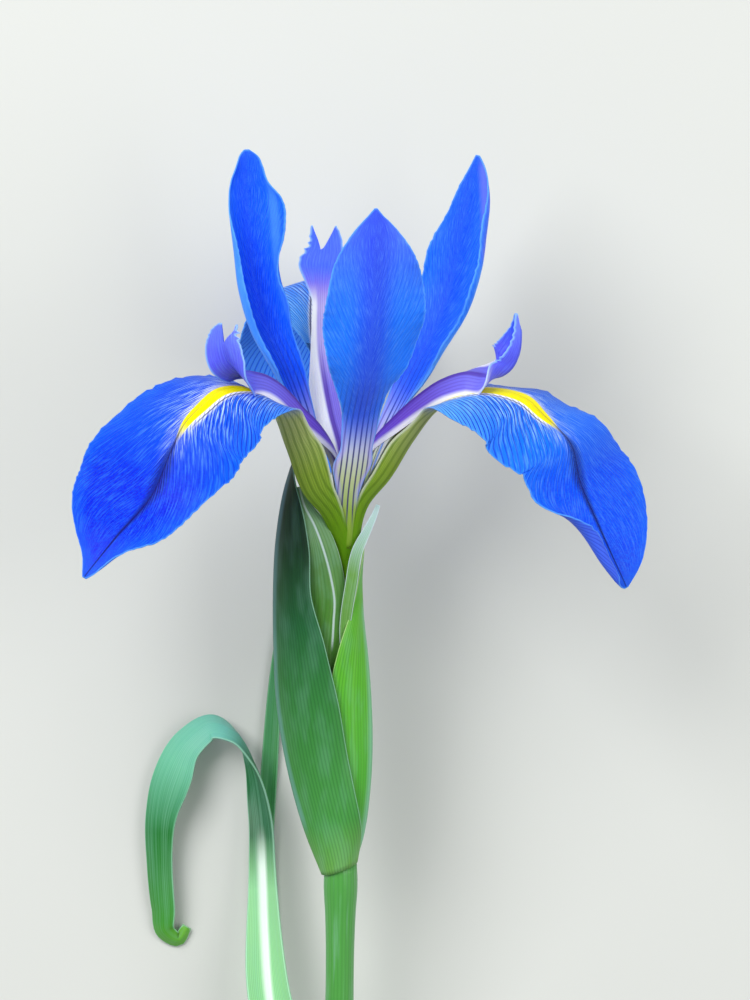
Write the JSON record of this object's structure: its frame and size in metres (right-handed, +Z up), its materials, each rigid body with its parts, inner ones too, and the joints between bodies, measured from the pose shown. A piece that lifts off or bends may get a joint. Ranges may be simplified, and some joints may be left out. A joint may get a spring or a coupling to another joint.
{
  "type": "iris flower",
  "caption": "Cut blue iris bloom lying on its back: drooping falls, upright standards, crested style arms, green spathe, narrow leaves and stem.",
  "frame": {"origin": "on the surface the flower lies on, under the middle of its outline", "axes": "+Y runs from the cut end of the stem to the tips of the standards, +X to the flower's right as seen from above, +Z up from the surface"},
  "size_m": [0.1021, 0.2468, 0.0795],
  "materials": {
    "fall_petal": "satin",
    "standard_petal": "satin",
    "style_arms": "satin",
    "stamen": "satin",
    "ovary_skin": "satin",
    "stem_skin": "satin",
    "outer_valve_leaf": "satin",
    "inner_valve_leaf": "satin",
    "bract_skin": "satin",
    "leaf_blade": "satin"
  },
  "bodies": {
    "root": {"stem": "stem_skin", "tube_ovary": "ovary_skin", "fall_left": "fall_petal", "fall_right": "fall_petal", "fall_back": "fall_petal", "standard_front": "standard_petal", "standard_left": "standard_petal", "standard_right": "standard_petal", "style": "style_arms", "stamen_left": "stamen", "stamen_right": "stamen", "stamen_back": "stamen", "spathe_left": "outer_valve_leaf", "spathe_right": "inner_valve_leaf", "membrane_left": "bract_skin", "membrane_right": "bract_skin", "leaf_curled": "leaf_blade", "leaf_narrow": "leaf_blade"}
  },
  "joints": []
}
